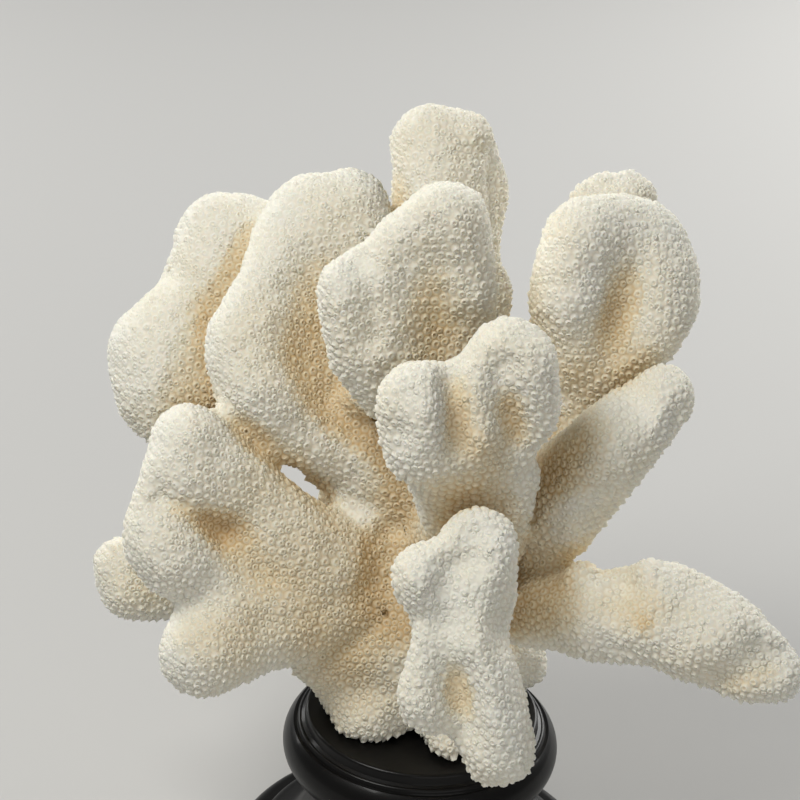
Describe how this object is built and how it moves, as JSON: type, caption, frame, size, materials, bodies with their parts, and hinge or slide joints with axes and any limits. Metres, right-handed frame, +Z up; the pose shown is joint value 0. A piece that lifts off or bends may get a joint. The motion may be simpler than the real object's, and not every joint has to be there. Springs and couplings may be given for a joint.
{
  "type": "branching coral",
  "caption": "White branching coral with thick lobed branches fanning from one trunk, resting on a black turned stand with a round foot.",
  "frame": {"origin": "middle of the stand's underside, on the table", "axes": "+Z up along the stand's turned axis, front of the piece towards -Y, +X to the right as seen from the front"},
  "size_m": [0.1414, 0.1197, 0.1571],
  "materials": {
    "coral": "matt, finely pitted",
    "stand": "black satin lacquer"
  },
  "bodies": {
    "root": {"coral_base": "coral", "branch_back_left": "coral", "branch_left": "coral", "branch_top": "coral", "branch_middle": "coral", "branch_front_upper": "coral", "branch_right_upper": "coral", "branch_right_middle": "coral", "branch_right_low": "coral", "branch_front_low": "coral", "branch_left_low": "coral", "branch_back_left_low": "coral", "branch_back_right": "coral", "branch_back": "coral", "stand": "stand"}
  },
  "joints": []
}
